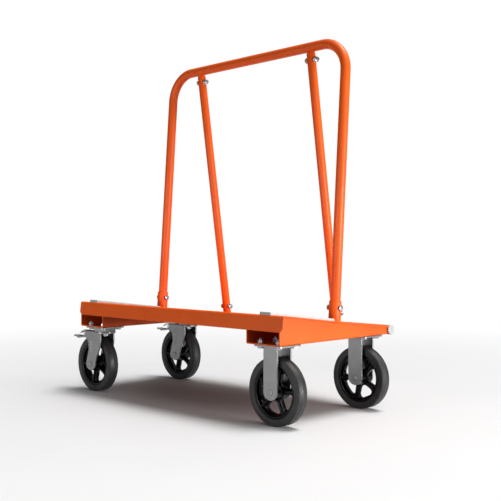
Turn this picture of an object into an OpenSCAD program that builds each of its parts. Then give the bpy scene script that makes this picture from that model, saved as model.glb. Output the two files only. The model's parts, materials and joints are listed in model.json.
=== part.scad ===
// Panel and slab cart: a sloping steel deck on two channels, a leaning U-shaped upright with
// two braces, two rigid casters at one end and two swivel casters with pedal brakes at the other.
// +X points to the rigid casters, +Y to the rear rail, +Z up. The origin is on the floor, in the
// middle of the cart's footprint.

/* [Deck] */
// Length of the deck from side to side
deck_length = 1014; // [970:2:1060]
// Height of the deck's front top edge above the floor
deck_front_z = 330; // [322:1:338]
// Fall of the deck towards the rear, in degrees
deck_slope = 7; // [6:0.1:7.4]
// Thickness of the deck's sheet
deck_sheet = 3; // [2.5:0.5:3.5]
// Depth of the folded front flange
flange_depth = 49; // [40:1:54]
// Size of the chamfer at each lower corner of the flange
flange_chamfer = 11; // [5:1:18]

/* [Channels] */
// Outer width of each channel under the deck
channel_width = 136; // [132:1:144]
// Thickness of the channels' sheet
channel_sheet = 3.5; // [3:0.5:4]
// Distance from the deck's end to the channel's outer wall
channel_inset = 9.5; // [5:0.5:16]

/* [Rear rail] */
// Outer diameter of the rail tube
rail_od = 30; // [28:0.5:33.5]
// Wall thickness of the rail tube
rail_wall = 2.5; // [2:0.1:4]
// Distance from the deck's front edge to the rail's axis
rail_y = 530; // [522:1:545]
// Length of the rail without its caps
rail_length = 998; // [950:1:1040]
// Diameter of the plastic end caps
cap_od = 32.8; // [32:0.1:36]
// Thickness of a cap's head
cap_head = 6.5; // [4:0.5:10]

/* [Upright] */
// Outer diameter of the upright's tube
upright_od = 33.4; // [30:0.1:38]
// Wall thickness of the upright's tube
upright_wall = 2.5; // [2:0.1:4]
// Distance between the two posts, axis to axis
post_spacing = 862; // [820:2:900]
// Distance from the deck's front edge to the foot of each post
post_y = 324; // [316:1:335]
// Height of the top bar's axis above the floor
top_bar_z = 1204; // [1100:1:1300]
// Lean of the upright to the rear, in degrees
upright_lean = 4; // [2:0.1:6]
// Radius of the two bends, at the tube's axis
bend_radius = 100; // [80:1:140]

/* [Sockets] */
// Outer diameter of the sockets that hold the posts
socket_od = 40; // [39:0.5:46]
// Height of a socket above the deck
socket_height = 66; // [52:1:85]

/* [Braces] */
// Outer diameter of a brace
brace_od = 30.5; // [28:0.1:33]
// Wall thickness of a brace
brace_wall = 2.6; // [2:0.1:4]
// Distance between the two braces
brace_spacing = 550; // [460:5:640]
// Distance from the rail's or the top bar's axis to a brace bolt
brace_bolt_offset = 43; // [40:1:56]

/* [Pads] */
// Width of each deck pad
pad_width = 44.5; // [36:0.5:54]
// Thickness of each deck pad
pad_thick = 9; // [6:1:12]
// Length of each deck pad, along the slope
pad_length = 296; // [270:1:300]

/* [Wheels] */
// Radius of the tyre
wheel_radius = 101.6; // [98:0.1:102.5]
// Width of the tyre
wheel_width = 38; // [34:0.1:42]
// Radius where the tyre meets the hub's rim
rim_radius = 79; // [76:1:82]
// Number of spokes
spokes = 5; // [4:1:6]
// Height of a caster from the floor to the top of its plate
caster_height = 240.5; // [239:0.5:243]

/* [Caster positions] */
// Distance from the deck's front edge to the front casters' axis
caster_front_y = 42; // [38:1:52]
// Distance from the deck's front edge to the rear casters' axis
caster_rear_y = 445; // [430:1:456]
// Distance from a swivel axis to its wheel's axle
swivel_trail = 45; // [38:1:48]

/* [Caster plates] */
// Length of a caster plate, along X
plate_x = 107; // [102:1:112]
// Depth of a caster plate, along Y
plate_y = 98; // [94:1:106]
// Thickness of a caster plate
plate_thick = 5; // [4:0.5:6]
// Spacing of the plate's bolts along X
bolt_x = 74; // [70:0.5:76]
// Spacing of the plate's bolts along Y
bolt_y = 66; // [62:0.5:74]

/* [Hidden] */
$fn = 64;
paint = [0.93, 0.36, 0.10];
zinc = [0.62, 0.62, 0.63];
bright = [0.80, 0.80, 0.82];
black = [0.07, 0.07, 0.07];
rubber = [0.20, 0.20, 0.20];
pad_grey = [0.75, 0.77, 0.77];
cap_white = [0.92, 0.92, 0.92];

// Outer radius of the fold between the deck and its flange
fold_r = 7;

// Clearances
bolt_hole_play = 0.25;
running_play = 0.05;
thrust_play = 0.3;

// Fasteners: thread radius, width across flats, head height, nut height
m10 = [5, 17, 6.4, 8.4];
washer_od = 20;
washer_thick = 2;

// Casters
wheel_z = wheel_radius;
leg_thick = 5.5;
leg_outer = 32;
leg_inner = leg_outer - leg_thick;
leg_half = 27;
plate_bottom = caster_height - plate_thick;
axle_r = 6.35;
bushing_r = 10;
bearing_r = 14;
boss_r = 25;
rim_inner = rim_radius - 7.5;
boss_half = 24.5;
thrust_washer = leg_inner - boss_half - thrust_play;

// Brake: the lever turns about a pin above and behind the wheel
pin_back = 52;
pin_z = 210;
pin_r = 4;
pedal_half = 15;
shoe_reach = 19.6;
pedal_reach = 82;

// Swivel yoke
crown_top = 221;
crown_thick = 5.5;
crown_bottom = crown_top - crown_thick;
yoke_back = -38;
yoke_front = swivel_trail + 14;
kingpin_r = 8;
kingpin_head_r = 13;
kingpin_head = 4;
race_r = 38;
race_bottom = 230;
ball_r = 2.7;
ball_ring_r = 27;
ball_count = 16;
race_lift = 3;
skirt_drop = 1.5;
ball_z = (race_bottom + crown_top + race_lift) / 2;

// Half lengths and places, from the middle of the deck's front edge
channel_out = deck_length / 2 - channel_inset;
channel_mid = channel_out - channel_width / 2;
rail_z = caster_height + rail_od / 2;
rail_r = rail_od / 2;
post_z = deck_front_z - post_y * tan(deck_slope);
upright_r = upright_od / 2;
upright_length = (top_bar_z - post_z) / cos(upright_lean);
top_bar_y = post_y + (top_bar_z - post_z) * tan(upright_lean);
post_x = post_spacing / 2;
brace_x = brace_spacing / 2;
brace_length = norm([rail_y - top_bar_y, top_bar_z - rail_z]);
brace_tilt = atan2(rail_y - top_bar_y, top_bar_z - rail_z);
brace_gap = 3;
spigot_length = 80;
spigot_r = brace_od / 2 - brace_wall - 0.1;
socket_r = upright_r + 0.2;
socket_bolt_z = 44;
rigid_x = channel_out - plate_x / 2;
swivel_x = -(channel_out - channel_width + plate_x / 2);
swivel_wheel_x = swivel_x - swivel_trail;

// From the origin to the middle of the deck's front edge: the footprint is centred on the origin
left_reach = pedal_reach + pin_back - swivel_wheel_x;
right_reach = max(rigid_x + wheel_radius, deck_length / 2);
cart_x = (left_reach - right_reach) / 2;
front_reach = flange_depth * sin(deck_slope);
rear_reach = rail_y + cap_od / 2;
cart_y = (max(front_reach, plate_y / 2 - caster_front_y) - rear_reach) / 2;
channel_length = front_reach + rail_y - rail_od / 4;

// The angle to which each wheel's spokes have rolled: one window is centred on it
phase_rigid_front = -30;
phase_rigid_rear = -66;
phase_swivel_front = -67;
phase_swivel_rear = -69;

// ---- Shared outlines and places ----

// Points on an arc about c, with radii r along x and y, from angle a0 to a1
function arc(c, r, a0, a1, n = 8) =
    [for (i = [0:n]) let (a = a0 + (a1 - a0) * i / n) c + [r[0] * cos(a), r[1] * sin(a)]];

// The outline with each corner rounded to radius r
function rounded(points, r, n = 5) = [
    for (i = [0:len(points) - 1])
        let (p = points[i],
             u = unit(points[(i + len(points) - 1) % len(points)] - p),
             v = unit(points[(i + 1) % len(points)] - p),
             half = acos(u * v) / 2,
             c = p + unit(u + v) * r / sin(half),
             a0 = angle_of(p + u * r / tan(half) - c),
             turn = wrap(angle_of(p + v * r / tan(half) - c) - a0))
            each arc(c, [r, r], a0, a0 + turn, n)
];
function unit(v) = v / norm(v);
function angle_of(v) = atan2(v[1], v[0]);
function wrap(a) = a > 180 ? a - 360 : a < -180 ? a + 360 : a;
function box_points(x, y) = [[-x, -y], [x, -y], [x, y], [-x, y]] / 2;

// From the middle of the deck's front edge
module at_cart() {
    translate([cart_x, cart_y, 0]) children();
}

// From the same point, along the sloping deck
module on_deck() {
    at_cart() translate([0, 0, deck_front_z]) rotate([-deck_slope, 0, 0]) children();
}

// From the foot of a post, along the leaning upright
module on_upright() {
    at_cart() translate([0, post_y, post_z]) rotate([-upright_lean, 0, 0]) children();
}

// From the rail's axis, along the leaning braces
module on_brace(side) {
    at_cart() translate([side * brace_x, rail_y, rail_z]) rotate([brace_tilt, 0, 0]) children();
}

// Extrude an outline drawn in Y and Z along X, centred
module along_x(length) {
    translate([-length / 2, 0, 0]) rotate([90, 0, 90]) linear_extrude(length) children();
}

module tube(od, wall, length) {
    difference() {
        cylinder(d = od, h = length);
        translate([0, 0, -1]) cylinder(d = od - 2 * wall, h = length + 2);
    }
}

module hex_bolt(size, length) {
    translate([0, 0, -size[2]]) cylinder(r = size[1] / sqrt(3), h = size[2], $fn = 6);
    cylinder(r = size[0], h = length);
}

module hex_nut(size) {
    difference() {
        cylinder(r = size[1] / sqrt(3), h = size[3], $fn = 6);
        translate([0, 0, -1]) cylinder(r = size[0] + 0.02, h = size[3] + 2);
    }
}

module washer(size) {
    difference() {
        cylinder(d = washer_od, h = washer_thick);
        translate([0, 0, -1]) cylinder(r = size[0] + 0.02, h = washer_thick + 2);
    }
}

// ---- Deck, channels, rail and pads ----

module rail_solid() {
    at_cart() translate([-deck_length, rail_y, rail_z]) rotate([0, 90, 0])
        cylinder(d = rail_od, h = 2 * deck_length);
}

// The flange and the deck in section, with the fold's radius
module deck_section() {
    polygon(concat(
        [[0, -flange_depth]],
        arc([fold_r, -fold_r], [fold_r, fold_r], 180, 90),
        [[rail_y, 0], [rail_y, -deck_sheet]],
        inner_fold(90, 180),
        [[deck_sheet, -flange_depth]]));
}

// Everything above and in front of the deck's inner faces, down to the flange's lower edge
module outside_deck() {
    margin = 100;
    on_deck() along_x(2 * deck_length) polygon(concat(
        [[-margin, -flange_depth], [deck_sheet, -flange_depth]],
        inner_fold(180, 90),
        [[rail_y + margin, -deck_sheet], [rail_y + margin, margin], [-margin, margin]]));
}

function inner_fold(a0, a1) =
    arc([fold_r, -fold_r], [1, 1] * (fold_r - deck_sheet), a0, a1);

module deck_plate() {
    color(paint) difference() {
        on_deck() difference() {
            along_x(deck_length) deck_section();
            for (side = [-1, 1])
                translate([side * deck_length / 2, -1, -flange_depth])
                    rotate([-90, 0, 0]) rotate(45)
                        translate([-flange_chamfer / sqrt(2), -flange_chamfer / sqrt(2), 0])
                            cube([flange_chamfer * sqrt(2), flange_chamfer * sqrt(2), deck_sheet + 2]);
        }
        rail_solid();
        for (side = [-1, 1])
            at_cart() translate([side * (deck_length + rail_length - 1) / 2, rail_y, rail_z])
                rotate([0, 90, 0]) cylinder(d = cap_od + 1, h = deck_length, center = true);
    }
}

module channel_section() {
    outer = 6;
    inner = outer - channel_sheet;
    half = channel_width / 2;
    top = deck_front_z;
    floor_z = caster_height;
    wall = half - channel_sheet;
    polygon(concat(
        [[-half, top]],
        arc([-half + outer, floor_z + outer], [outer, outer], 180, 270),
        arc([half - outer, floor_z + outer], [outer, outer], 270, 360),
        [[half, top], [wall, top]],
        arc([half - outer, floor_z + outer], [inner, inner], 360, 270),
        arc([-half + outer, floor_z + outer], [inner, inner], 270, 180),
        [[-wall, top]]));
}

// The bolts' places on one caster plate
module at_plate_bolts() {
    for (x = [-1, 1], y = [-1, 1])
        translate([x * bolt_x / 2, y * bolt_y / 2, 0]) children();
}

module caster_places(x) {
    for (y = [caster_front_y, caster_rear_y])
        at_cart() translate([x, y, 0]) children();
}

module channel(side, caster_x) {
    color(paint) difference() {
        at_cart() translate([side * channel_mid, -front_reach, 0]) rotate([90, 0, 180])
            linear_extrude(channel_length) channel_section();
        outside_deck();
        rail_solid();
        caster_places(caster_x) at_plate_bolts()
            translate([0, 0, caster_height - 1])
                cylinder(r = m10[0] + bolt_hole_play, h = channel_sheet + 2);
    }
}
module channel_left() channel(-1, swivel_x);
module channel_right() channel(1, rigid_x);

module rear_rail() {
    color(paint) at_cart() translate([-rail_length / 2, rail_y, rail_z]) rotate([0, 90, 0])
        tube(rail_od, rail_wall, rail_length);
}

module rear_rail_cap(side) {
    plug_r = rail_r - rail_wall - 0.05;
    plug = 20;
    edge = 2;
    color(cap_white) at_cart() translate([side * rail_length / 2, rail_y, rail_z])
        rotate([0, side * 90, 0]) rotate_extrude()
            polygon(concat(
                [[0, -plug], [plug_r - 1.5, -plug], [plug_r, 3 - plug], [plug_r, 0], [cap_od / 2, 0]],
                arc([cap_od / 2 - edge, cap_head - edge], [edge, edge], 0, 90),
                [[0, cap_head]]));
}
module rear_rail_cap_left() rear_rail_cap(-1);
module rear_rail_cap_right() rear_rail_cap(1);

module deck_pad(side) {
    edge = 3;
    half = pad_width / 2;
    color(pad_grey) on_deck() translate([side * post_x, pad_length + 2, 0]) rotate([90, 0, 0])
        linear_extrude(pad_length) polygon(concat(
            [[-half, 0], [half, 0]],
            arc([half - edge, pad_thick - edge], [edge, edge], 0, 90),
            arc([-half + edge, pad_thick - edge], [edge, edge], 90, 180)));
}
module deck_pad_left() deck_pad(-1);
module deck_pad_right() deck_pad(1);

// ---- Upright, sockets and braces ----

// Everything below the deck's top face
module under_deck() {
    on_deck() translate([-deck_length, 0, -200]) cube([2 * deck_length, rail_y, 200]);
}

module at_socket_bolt(side) {
    on_upright() translate([side * post_x, 0, socket_bolt_z]) rotate([0, -90 * side, 0]) children();
}

module socket_bolt_hole(side) {
    at_socket_bolt(side) translate([0, 0, -socket_od])
        cylinder(r = m10[0] + bolt_hole_play, h = 2 * socket_od);
}

module post_socket(side) {
    spare = 20;
    color(paint) difference() {
        on_upright() translate([side * post_x, 0, -spare]) difference() {
            cylinder(d = socket_od, h = socket_height + spare);
            translate([0, 0, -1]) cylinder(r = socket_r, h = socket_height + spare + 2);
        }
        under_deck();
        socket_bolt_hole(side);
    }
}
module post_socket_left() post_socket(-1);
module post_socket_right() post_socket(1);

module top_bar_solid() {
    at_cart() translate([-post_x + bend_radius, top_bar_y, top_bar_z]) rotate([0, 90, 0])
        cylinder(r = upright_r, h = post_spacing - 2 * bend_radius);
}

module upright_section() {
    difference() {
        circle(r = upright_r);
        circle(r = upright_r - upright_wall);
    }
}

module upright_frame() {
    straight = upright_length - bend_radius;
    spare = 10;
    color(paint) difference() {
        on_upright() union() {
            for (side = [-1, 1]) {
                translate([side * post_x, 0, -spare])
                    tube(upright_od, upright_wall, straight + spare);
                translate([side * (post_x - bend_radius), 0, straight])
                    rotate([90, 0, side < 0 ? 180 : 0])
                        rotate_extrude(angle = 90) translate([bend_radius, 0]) upright_section();
            }
            translate([-post_x + bend_radius, 0, upright_length]) rotate([0, 90, 0])
                tube(upright_od, upright_wall, post_spacing - 2 * bend_radius);
        }
        under_deck();
        socket_bolt_hole(-1);
        socket_bolt_hole(1);
    }
}

module brace_bolt_places() {
    for (side = [-1, 1], z = [brace_bolt_offset, brace_length - brace_bolt_offset])
        on_brace(side) translate([0, 0, z]) rotate([0, 90, 0]) children();
}

module brace_bolt_holes() {
    brace_bolt_places() translate([0, 0, -brace_od])
        cylinder(r = m10[0] + bolt_hole_play, h = 2 * brace_od);
}

module brace(side) {
    start = rail_r + brace_gap;
    end = brace_length - upright_r - brace_gap;
    color(paint) difference() {
        on_brace(side) translate([0, 0, start]) tube(brace_od, brace_wall, end - start);
        brace_bolt_holes();
    }
}
module brace_left() brace(-1);
module brace_right() brace(1);

module brace_upper_spigots() {
    color(paint) difference() {
        for (side = [-1, 1])
            on_brace(side) translate([0, 0, brace_length - spigot_length])
                cylinder(r = spigot_r, h = spigot_length);
        top_bar_solid();
        brace_bolt_holes();
    }
}

module brace_lower_spigots() {
    color(paint) difference() {
        for (side = [-1, 1])
            on_brace(side) cylinder(r = spigot_r, h = spigot_length);
        under_deck();
        rail_solid();
        brace_bolt_holes();
    }
}

module brace_bolts() {
    head = brace_od / 2 + washer_thick;
    color(zinc) brace_bolt_places() translate([0, 0, -head]) hex_bolt(m10, 2 * head + m10[3] + 6);
}

module brace_washers() {
    color(bright) brace_bolt_places() for (z = [-brace_od / 2 - washer_thick, brace_od / 2])
        translate([0, 0, z]) washer(m10);
}

module brace_nuts() {
    color(zinc) brace_bolt_places() translate([0, 0, brace_od / 2 + washer_thick]) hex_nut(m10);
}

module socket_bolts() {
    color(zinc) for (side = [-1, 1])
        at_socket_bolt(side) translate([0, 0, -socket_od / 2])
            hex_bolt(m10, socket_od + m10[3] + 4);
}

module socket_nuts() {
    color(zinc) for (side = [-1, 1])
        at_socket_bolt(side) translate([0, 0, socket_od / 2]) hex_nut(m10);
}

// ---- Caster fasteners ----

module at_all_plate_bolts() {
    for (x = [swivel_x, rigid_x]) caster_places(x) at_plate_bolts() rotate(30) children();
}

module caster_bolts() {
    grip = plate_thick + channel_sheet + washer_thick + m10[3];
    color(zinc) at_all_plate_bolts() translate([0, 0, plate_bottom]) hex_bolt(m10, grip + 5);
}

module caster_washers() {
    color(bright) at_all_plate_bolts() translate([0, 0, caster_height + channel_sheet])
        washer(m10);
}

module caster_nuts() {
    color(zinc) at_all_plate_bolts()
        translate([0, 0, caster_height + channel_sheet + washer_thick]) hex_nut(m10);
}

// ---- Wheels ----

// From the middle of a wheel, with Z along the axle to the front and Y up
module at_wheel(x, y) {
    at_cart() translate([x, y, wheel_z]) rotate([90, 0, 0]) children();
}

module tyre(x, y) {
    edge = 7;
    half = wheel_width / 2;
    color(rubber) at_wheel(x, y) rotate_extrude($fn = 96) polygon(concat(
        [[rim_radius, -half + 3], [rim_radius + 3, -half]],
        arc([wheel_radius - edge, -half + edge], [edge, edge], -90, 0),
        arc([wheel_radius - edge, half - edge], [edge, edge], 0, 90),
        [[rim_radius + 3, half], [rim_radius, half - 3]]));
}

// One window between two spokes, centred on the x axis
module hub_window(depth) {
    near = boss_r + 5;
    far = rim_inner - 6;
    spoke_near = 10;
    spoke_far = 8;
    corner_r = 11;
    pitch = 360 / spokes;
    a = pitch / 2 - asin(spoke_near / near);
    b = pitch / 2 - asin(spoke_far / far);
    bulge = 1.02 * far * [cos(b / 2), sin(b / 2)];
    corners = [
        near * [cos(a), -sin(a)], far * [cos(b), -sin(b)], [bulge[0], -bulge[1]],
        bulge, far * [cos(b), sin(b)], near * [cos(a), sin(a)]];
    translate([0, 0, -depth / 2]) linear_extrude(depth) polygon(rounded(corners, corner_r, 4));
}

// Boss, web with windows, rim and a rib along each spoke
module hub(x, y, phase) {
    rim_half = wheel_width / 2 - 3;
    rib_start = boss_r - 6;
    rib_height = rim_half - 4;
    web_half = 5.5;
    rib_half = 4;
    draft = 3;
    color(black) at_wheel(x, y) rotate(phase) difference() {
        union() {
            rotate_extrude($fn = 96) polygon([
                [boss_r - 4, -web_half], [rim_inner - draft, -web_half], [rim_inner, -rim_half],
                [rim_radius, -rim_half], [rim_radius, rim_half], [rim_inner, rim_half],
                [rim_inner - draft, web_half], [boss_r - 4, web_half]]);
            cylinder(r = boss_r, h = 2 * boss_half, center = true);
            for (i = [0:spokes - 1])
                rotate((i + 0.5) * 360 / spokes) translate([rib_start, -rib_half, -rib_height])
                    cube([rim_inner + 2 - rib_start, 2 * rib_half, 2 * rib_height]);
        }
        for (i = [0:spokes - 1]) rotate(i * 360 / spokes) hub_window(3 * web_half);
        cylinder(r = bearing_r, h = 4 * boss_half, center = true);
    }
}

// Roller cage pressed into the hub
module bearing(x, y) {
    color(bright) at_wheel(x, y) difference() {
        cylinder(r = bearing_r, h = 2 * boss_half - 4, center = true);
        cylinder(r = bushing_r + running_play, h = 4 * boss_half, center = true);
    }
}

// Fixed sleeve on the axle, with a thrust washer at each end of the hub
module bushing(x, y) {
    color(zinc) at_wheel(x, y) difference() {
        union() {
            cylinder(r = bushing_r, h = 2 * leg_inner, center = true);
            for (side = [-1, 1])
                translate([0, 0, side * (leg_inner - thrust_washer / 2)])
                    cylinder(r = 18, h = thrust_washer, center = true);
        }
        cylinder(r = axle_r, h = 4 * leg_inner, center = true);
    }
}

// Axle bolt from the front, with its nut at the rear
module axle(x, y) {
    head = 4;
    nut = 9;
    flats_r = 19 / sqrt(3);
    color(bright) at_wheel(x, y) {
        translate([0, 0, -leg_outer - nut - 4]) cylinder(r = axle_r, h = 2 * leg_outer + nut + 4);
        translate([0, 0, leg_outer]) cylinder(r = flats_r, h = head, $fn = 6);
        translate([0, 0, -leg_outer - nut]) difference() {
            cylinder(r = flats_r, h = nut, $fn = 6);
            translate([0, 0, -1]) cylinder(r = axle_r + 0.02, h = nut + 2);
        }
    }
}

// ---- Rigid casters ----

module plate_outline() {
    polygon(rounded(box_points(plate_x, plate_y), 9));
}

module caster_plate() {
    difference() {
        translate([0, 0, plate_bottom]) linear_extrude(plate_thick) plate_outline();
        at_plate_bolts() translate([0, 0, plate_bottom - 1])
            cylinder(r = m10[0] + bolt_hole_play, h = plate_thick + 2);
    }
}

// A straight leg with a rounded foot around the axle, drawn in X and Z
module straight_leg_outline() {
    foot = 23;
    polygon(concat(
        [[leg_half, plate_bottom], [-leg_half, plate_bottom]],
        arc([0, wheel_z], [leg_half, foot], 180, 360, 16)));
}

module legs() {
    for (y = [-leg_inner, leg_outer])
        translate([0, y, 0]) rotate([90, 0, 0]) linear_extrude(leg_thick) children();
}

module rigid_fork(y) {
    color(zinc) difference() {
        at_cart() translate([rigid_x, y, 0]) {
            caster_plate();
            legs() straight_leg_outline();
        }
        at_wheel(rigid_x, y) cylinder(r = axle_r + 0.1, h = 4 * leg_outer, center = true);
    }
}
module rigid_front_fork() rigid_fork(caster_front_y);
module rigid_rear_fork() rigid_fork(caster_rear_y);
module rigid_front_axle() axle(rigid_x, caster_front_y);
module rigid_rear_axle() axle(rigid_x, caster_rear_y);
module rigid_front_bushing() bushing(rigid_x, caster_front_y);
module rigid_rear_bushing() bushing(rigid_x, caster_rear_y);
module rigid_front_hub() hub(rigid_x, caster_front_y, phase_rigid_front);
module rigid_rear_hub() hub(rigid_x, caster_rear_y, phase_rigid_rear);
module rigid_front_bearing() bearing(rigid_x, caster_front_y);
module rigid_rear_bearing() bearing(rigid_x, caster_rear_y);
module rigid_front_tyre() tyre(rigid_x, caster_front_y);
module rigid_rear_tyre() tyre(rigid_x, caster_rear_y);

// ---- Swivel casters ----

// From a swivel axis, on the floor
module at_swivel(y) {
    at_cart() translate([swivel_x, y, 0]) children();
}

// From the point on the floor under a swivel wheel's axle
module at_trail(y) {
    at_swivel(y) translate([-swivel_trail, 0, 0]) children();
}

// Bolting plate with the upper ball race and its dust skirt below it
module top_plate(y) {
    color(zinc) at_swivel(y) difference() {
        union() {
            caster_plate();
            translate([0, 0, race_bottom]) cylinder(r = race_r, h = plate_bottom - race_bottom);
            difference() {
                translate([0, 0, crown_top + skirt_drop])
                    cylinder(r = race_r, h = race_bottom - crown_top - skirt_drop);
                translate([0, 0, crown_top]) cylinder(r = race_r - 3, h = race_bottom - crown_top);
            }
        }
        translate([0, 0, race_bottom - 1]) cylinder(r = kingpin_r, h = 20);
        translate([0, 0, caster_height - kingpin_head])
            cylinder(r = kingpin_head_r, h = kingpin_head + 1);
    }
}

module kingpin(y) {
    nut_top = crown_bottom - thrust_play;
    nut = 9;
    end = nut_top - nut - 3;
    color(bright) at_swivel(y) {
        translate([0, 0, end]) cylinder(r = kingpin_r, h = caster_height - end);
        translate([0, 0, caster_height - kingpin_head])
            cylinder(r = kingpin_head_r, h = kingpin_head);
        translate([0, 0, nut_top - nut]) cylinder(r = 24 / sqrt(3), h = nut, $fn = 6);
    }
}

module balls(y) {
    color(bright) at_swivel(y) for (i = [0:ball_count - 1])
        rotate(i * 360 / ball_count) translate([ball_ring_r, 0, ball_z]) sphere(r = ball_r, $fn = 24);
}

// A yoke leg, wide under the crown and narrow at the axle, drawn in X and Z from the axle
module yoke_leg_outline() {
    foot_x = 28;
    foot_z = 23;
    polygon(concat(
        [[yoke_back, crown_top], [yoke_back + 3, crown_bottom - 8],
         [yoke_back + 23, crown_bottom - 34], [yoke_back + 25, crown_bottom - 62]],
        arc([0, wheel_z], [foot_x, foot_z], 172, 368, 16),
        [[yoke_front - 22, wheel_z + 30], [yoke_front - 5, crown_bottom - 52],
         [yoke_front, crown_bottom - 30], [yoke_front, crown_top]]));
}

module yoke(y) {
    ear_r = 8;
    color(zinc) difference() {
        at_trail(y) {
            legs() yoke_leg_outline();
            difference() {
                union() {
                    translate([yoke_back, -leg_outer, crown_bottom])
                        cube([yoke_front - yoke_back, 2 * leg_outer, crown_thick]);
                    translate([swivel_trail, 0, crown_bottom])
                        cylinder(r = race_r, h = crown_thick);
                    translate([swivel_trail, 0, crown_top])
                        cylinder(r = race_r - 6, h = race_lift);
                }
                translate([swivel_trail, 0, crown_bottom - 1])
                    cylinder(r = kingpin_r + running_play, h = crown_thick + race_lift + 2);
            }
            for (side = [-1, 1])
                translate([0, side * (pedal_half + 5) + 2, 0]) rotate([90, 0, 0])
                    linear_extrude(4) polygon(concat(
                        [[yoke_back + 6, crown_top], [yoke_back + 6, crown_bottom - 7]],
                        arc([-pin_back, pin_z], [ear_r, ear_r], 270, 90),
                        [[yoke_back - 12, crown_top]]));
        }
        at_wheel(swivel_wheel_x, y) cylinder(r = axle_r + 0.1, h = 4 * leg_outer, center = true);
        at_wheel(swivel_wheel_x, y) translate([-pin_back, pin_z - wheel_z, 0])
            cylinder(r = pin_r, h = 4 * leg_outer, center = true);
    }
}

// Lever with its pedal, release tab and shoe, drawn in X and Z from the pin
module brake_pedal(y) {
    color(zinc) at_wheel(swivel_wheel_x, y) translate([-pin_back, pin_z - wheel_z, 0]) difference() {
        union() {
            cylinder(r = pin_r + 3.5, h = 2 * pedal_half, center = true);
            translate([0, 0, -pedal_half]) linear_extrude(2 * pedal_half) {
                polygon([[-2, 7], [-10, 5], [-16, -8], [-30, -13],
                         [-pedal_reach + 4, -13], [-pedal_reach, -10], [-pedal_reach, -15],
                         [-pedal_reach + 4, -17.5], [-64, -17.5], [-56, -22],
                         [-50, -21], [-44, -17.5], [-24, -17.5], [-12, -13], [-6, -7]]);
                polygon([[-7, 0], [-8, -shoe_reach + 4], [-3, -shoe_reach], [3, -shoe_reach + 5],
                         [6, -3]]);
            }
        }
        cylinder(r = pin_r + running_play, h = 4 * pedal_half, center = true);
    }
}

module brake_pin(y) {
    half = pedal_half + 7;
    color(bright) at_wheel(swivel_wheel_x, y) translate([-pin_back, pin_z - wheel_z, 0]) {
        cylinder(r = pin_r, h = 2 * half, center = true);
        for (side = [-1, 1])
            translate([0, 0, side * (half + 1)]) cylinder(r = pin_r + 2, h = 2, center = true);
    }
}

// Flat spring from the crown's edge, bent down above the lever, drawn in X and Z from the pin
module brake_spring(y) {
    thick = 2.2;
    start = pin_back + yoke_back;
    top = 10.2;
    bend = -30;
    tip = [-52, -1];
    color(bright) at_wheel(swivel_wheel_x, y) translate([-pin_back, pin_z - wheel_z, -8])
        linear_extrude(16) polygon([
            [start, top], [bend, top], tip, tip - [0, thick], [bend, top - thick],
            [start, top - thick]]);
}

module swivel_front_top_plate() top_plate(caster_front_y);
module swivel_rear_top_plate() top_plate(caster_rear_y);
module swivel_front_kingpin() kingpin(caster_front_y);
module swivel_rear_kingpin() kingpin(caster_rear_y);
module swivel_front_balls() balls(caster_front_y);
module swivel_rear_balls() balls(caster_rear_y);
module swivel_front_yoke() yoke(caster_front_y);
module swivel_rear_yoke() yoke(caster_rear_y);
module swivel_front_axle() axle(swivel_wheel_x, caster_front_y);
module swivel_rear_axle() axle(swivel_wheel_x, caster_rear_y);
module swivel_front_bushing() bushing(swivel_wheel_x, caster_front_y);
module swivel_rear_bushing() bushing(swivel_wheel_x, caster_rear_y);
module swivel_front_hub() hub(swivel_wheel_x, caster_front_y, phase_swivel_front);
module swivel_rear_hub() hub(swivel_wheel_x, caster_rear_y, phase_swivel_rear);
module swivel_front_bearing() bearing(swivel_wheel_x, caster_front_y);
module swivel_rear_bearing() bearing(swivel_wheel_x, caster_rear_y);
module swivel_front_tyre() tyre(swivel_wheel_x, caster_front_y);
module swivel_rear_tyre() tyre(swivel_wheel_x, caster_rear_y);
module swivel_front_brake_pedal() brake_pedal(caster_front_y);
module swivel_rear_brake_pedal() brake_pedal(caster_rear_y);
module swivel_front_brake_pin() brake_pin(caster_front_y);
module swivel_rear_brake_pin() brake_pin(caster_rear_y);
module swivel_front_brake_spring() brake_spring(caster_front_y);
module swivel_rear_brake_spring() brake_spring(caster_rear_y);

deck_plate();
channel_left();
channel_right();
rear_rail();
rear_rail_cap_left();
rear_rail_cap_right();
deck_pad_left();
deck_pad_right();
post_socket_left();
post_socket_right();
upright_frame();
brace_left();
brace_right();
brace_upper_spigots();
brace_lower_spigots();
brace_bolts();
brace_washers();
brace_nuts();
socket_bolts();
socket_nuts();
caster_bolts();
caster_washers();
caster_nuts();
rigid_front_fork();
rigid_front_axle();
rigid_front_bushing();
rigid_front_hub();
rigid_front_bearing();
rigid_front_tyre();
rigid_rear_fork();
rigid_rear_axle();
rigid_rear_bushing();
rigid_rear_hub();
rigid_rear_bearing();
rigid_rear_tyre();
swivel_front_top_plate();
swivel_front_kingpin();
swivel_front_balls();
swivel_front_yoke();
swivel_front_axle();
swivel_front_bushing();
swivel_front_hub();
swivel_front_bearing();
swivel_front_tyre();
swivel_front_brake_pedal();
swivel_front_brake_pin();
swivel_front_brake_spring();
swivel_rear_top_plate();
swivel_rear_kingpin();
swivel_rear_balls();
swivel_rear_yoke();
swivel_rear_axle();
swivel_rear_bushing();
swivel_rear_hub();
swivel_rear_bearing();
swivel_rear_tyre();
swivel_rear_brake_pedal();
swivel_rear_brake_pin();
swivel_rear_brake_spring();
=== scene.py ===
"""Looks of the panel cart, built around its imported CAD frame."""
import json
import math
import random
import bmesh
import bpy
from mathutils import Matrix, Vector


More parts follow.
